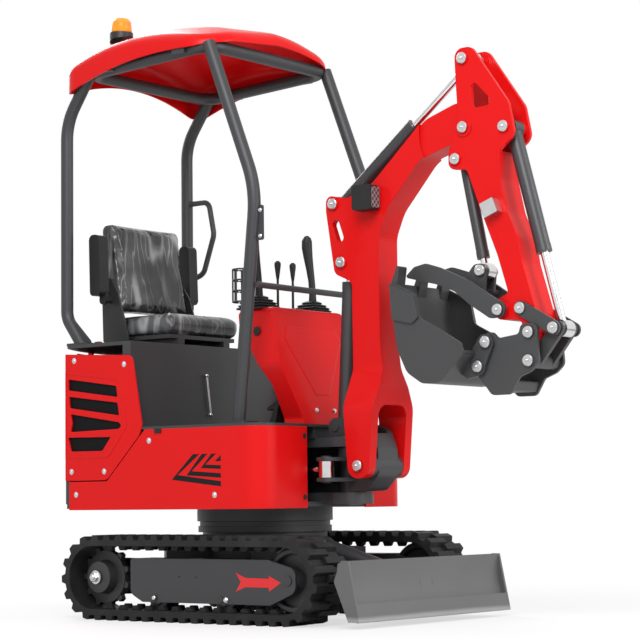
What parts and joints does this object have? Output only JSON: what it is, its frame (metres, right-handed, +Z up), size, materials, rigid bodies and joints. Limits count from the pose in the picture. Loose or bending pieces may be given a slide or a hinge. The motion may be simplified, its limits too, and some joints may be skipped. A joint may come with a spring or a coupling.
{
  "type": "mini excavator",
  "caption": "Tracked mini excavator with canopy, swinging boom, arm, quick hitch, bucket, hydraulic thumb and dozer blade.",
  "frame": {"origin": "on the ground under the slew axis", "axes": "+X forward, +Y left, +Z up"},
  "size_m": [2.123, 0.93, 2.328],
  "materials": {
    "red_paint": "gloss",
    "charcoal_paint": "satin",
    "grey_paint": "satin",
    "ram_paint": "satin",
    "chrome_rod": "polished",
    "track_rubber": "matt",
    "cast_steel": "rough",
    "engine_iron": "rough",
    "black_plastic": "matt",
    "mat_rubber": "matt",
    "seat_vinyl": "satin",
    "amber_lens": "gloss"
  },
  "bodies": {
    "undercarriage": {"track_frame": "charcoal_paint", "left_track": "track_rubber", "right_track": "track_rubber", "sprockets": "cast_steel", "idlers": "cast_steel", "track_rollers": "cast_steel", "slew_ring": "cast_steel"},
    "blade": {"dozer_blade": "grey_paint"},
    "blade_cylinder": {"blade_cylinder_barrel": "ram_paint"},
    "blade_rod": {"blade_cylinder_rod": "chrome_rod"},
    "upper_body": {"deck_frame": "charcoal_paint", "floor_plate": "charcoal_paint", "right_side_cover": "red_paint", "left_side_cover": "red_paint", "right_vent_cover": "red_paint", "left_vent_cover": "red_paint", "counterweight": "charcoal_paint", "seat_base": "charcoal_paint", "engine": "engine_iron", "console": "red_paint", "control_levers": "black_plastic", "handrail": "charcoal_paint", "pedals": "black_plastic", "floor_mat": "mat_rubber", "seat_rails": "charcoal_paint", "seat_cushion": "seat_vinyl", "seat_back": "seat_vinyl", "armrests": "seat_vinyl", "roof_ring": "charcoal_paint", "rear_posts": "charcoal_paint", "front_posts": "charcoal_paint", "canopy_roof": "red_paint", "beacon": "amber_lens", "grab_handle": "charcoal_paint"},
    "bonnet": {"rear_bonnet": "red_paint"},
    "swing_bracket": {"swing_post": "charcoal_paint"},
    "swing_cylinder": {"swing_cylinder_barrel": "ram_paint"},
    "swing_rod": {"swing_cylinder_rod": "chrome_rod"},
    "boom": {"boom": "red_paint", "boom_light": "black_plastic"},
    "boom_cylinder": {"boom_cylinder_barrel": "ram_paint"},
    "boom_rod": {"boom_cylinder_rod": "chrome_rod"},
    "arm_cylinder": {"arm_cylinder_barrel": "ram_paint"},
    "arm_rod": {"arm_cylinder_rod": "chrome_rod"},
    "arm": {"arm": "red_paint"},
    "bucket_cylinder": {"bucket_cylinder_barrel": "ram_paint"},
    "bucket_rod": {"bucket_cylinder_rod": "chrome_rod"},
    "rocker": {"rocker_links": "grey_paint"},
    "tipping_link": {"tipping_link": "grey_paint"},
    "bucket": {"quick_hitch": "grey_paint", "bucket": "grey_paint"},
    "thumb": {"thumb": "grey_paint"},
    "thumb_cylinder": {"thumb_cylinder_barrel": "ram_paint"},
    "thumb_rod": {"thumb_cylinder_rod": "chrome_rod"}
  },
  "joints": [
    {"name": "slew", "type": "hinge", "parent": "undercarriage", "child": "upper_body", "pos_m": [0, 0, 0.36], "axis": [0, 0, 1], "continuous": true},
    {"name": "blade_lift", "type": "hinge", "parent": "undercarriage", "child": "blade", "pos_m": [0.215, 0, 0.205], "axis": [0, -1, 0], "range_deg": [-18, 17]},
    {"name": "blade_cylinder_pivot", "type": "hinge", "parent": "undercarriage", "child": "blade_cylinder", "pos_m": [0.278, 0, 0.27], "axis": [0, 1, 0], "range_deg": [-19.09, 20.18]},
    {"name": "blade_rod_slide", "type": "slide", "parent": "blade_cylinder", "child": "blade_rod", "axis": [0.9601, 0, -0.2796], "range_m": [-0.02462, 0.02601]},
    {"name": "bonnet_hinge", "type": "hinge", "parent": "upper_body", "child": "bonnet", "pos_m": [-0.676, 0, 1.052], "axis": [0, 1, 0], "range_deg": [0, 75]},
    {"name": "boom_swing", "type": "hinge", "parent": "upper_body", "child": "swing_bracket", "pos_m": [0.43, 0, 0.545], "axis": [0, 0, 1], "range_deg": [-50, 50]},
    {"name": "swing_cylinder_pivot", "type": "hinge", "parent": "upper_body", "child": "swing_cylinder", "pos_m": [-0.15, -0.17, 0.545], "axis": [0, 0, 1], "range_deg": [-2, 2]},
    {"name": "swing_rod_slide", "type": "slide", "parent": "swing_cylinder", "child": "swing_rod", "axis": [0.9983, 0.0576, 0], "range_m": [-0.10974, 0.10974]},
    {"name": "boom_lift", "type": "hinge", "parent": "swing_bracket", "child": "boom", "pos_m": [0.54, 0, 0.556], "axis": [0, -1, 0], "range_deg": [-80, 8]},
    {"name": "boom_cylinder_pivot", "type": "hinge", "parent": "swing_bracket", "child": "boom_cylinder", "pos_m": [0.39, 0, 0.7], "axis": [0, 1, 0], "range_deg": [-8.68, 82.31]},
    {"name": "boom_rod_slide", "type": "slide", "parent": "boom_cylinder", "child": "boom_rod", "axis": [0.0579, 0, 0.9983], "range_m": [-0.02783, 0.2693]},
    {"name": "arm_crowd", "type": "hinge", "parent": "boom", "child": "arm", "pos_m": [0.976, 0, 1.737], "axis": [0, 1, 0], "range_deg": [-68, 10]},
    {"name": "arm_cylinder_pivot", "type": "hinge", "parent": "boom", "child": "arm_cylinder", "pos_m": [0.39, 0, 1.522], "axis": [0, 1, 0], "range_deg": [-5.87, 1.29]},
    {"name": "arm_rod_slide", "type": "slide", "parent": "arm_cylinder", "child": "arm_rod", "axis": [0.7858, 0, 0.6185], "range_m": [-0.27407, 0.04116]},
    {"name": "bucket_curl", "type": "hinge", "parent": "arm", "child": "bucket", "pos_m": [1.246, 0, 0.997], "axis": [0, 1, 0], "range_deg": [-150, 0]},
    {"name": "rocker_pivot", "type": "hinge", "parent": "arm", "child": "rocker", "pos_m": [1.203, 0, 1.083], "axis": [0, 1, 0], "range_deg": [-90.66, 0.5]},
    {"name": "tipping_link_pivot", "type": "hinge", "parent": "rocker", "child": "tipping_link", "pos_m": [1.333, 0, 1.008], "axis": [0, 1, 0], "range_deg": [-0.5, 33.86]},
    {"name": "bucket_cylinder_pivot", "type": "hinge", "parent": "arm", "child": "bucket_cylinder", "pos_m": [1.144, 0, 1.721], "axis": [0, 1, 0], "range_deg": [-3.78, 0.5]},
    {"name": "bucket_rod_slide", "type": "slide", "parent": "bucket_cylinder", "child": "bucket_rod", "axis": [0.2562, 0, -0.9666], "range_m": [-0.21506, 0.001]},
    {"name": "thumb_pivot", "type": "hinge", "parent": "arm", "child": "thumb", "pos_m": [1.124, 0, 1.081], "axis": [0, 1, 0], "range_deg": [-75.5, 0.5]},
    {"name": "thumb_cylinder_pivot", "type": "hinge", "parent": "arm", "child": "thumb_cylinder", "pos_m": [0.94, 0, 1.628], "axis": [0, 1, 0], "range_deg": [-0.5, 13.35]},
    {"name": "thumb_rod_slide", "type": "slide", "parent": "thumb_cylinder", "child": "thumb_rod", "axis": [0.1966, 0, -0.9805], "range_m": [-0.001, 0.19343]}
  ],
  "couplings": [
    {"joint": "blade_cylinder_pivot", "follows": "blade_lift", "ratio": -1.0933},
    {"joint": "blade_rod_slide", "follows": "blade_lift", "m_per_rad": -0.079617},
    {"joint": "swing_cylinder_pivot", "follows": "boom_swing", "ratio": -0.03},
    {"joint": "swing_rod_slide", "follows": "boom_swing", "m_per_rad": 0.1246},
    {"joint": "boom_cylinder_pivot", "follows": "boom_lift", "ratio": -1.0227},
    {"joint": "boom_rod_slide", "follows": "boom_lift", "m_per_rad": -0.19216},
    {"joint": "arm_cylinder_pivot", "follows": "arm_crowd", "ratio": 0.078971},
    {"joint": "arm_rod_slide", "follows": "arm_crowd", "m_per_rad": 0.23009},
    {"joint": "rocker_pivot", "follows": "bucket_curl", "ratio": 0.60109},
    {"joint": "tipping_link_pivot", "follows": "bucket_curl", "ratio": -0.22243},
    {"joint": "bucket_cylinder_pivot", "follows": "bucket_curl", "ratio": 0.021881},
    {"joint": "bucket_rod_slide", "follows": "bucket_curl", "m_per_rad": 0.081765},
    {"joint": "thumb_pivot", "follows": "bucket_curl", "ratio": 0.5},
    {"joint": "thumb_cylinder_pivot", "follows": "bucket_curl", "ratio": -0.085649},
    {"joint": "thumb_rod_slide", "follows": "bucket_curl", "m_per_rad": -0.073505}
  ]
}
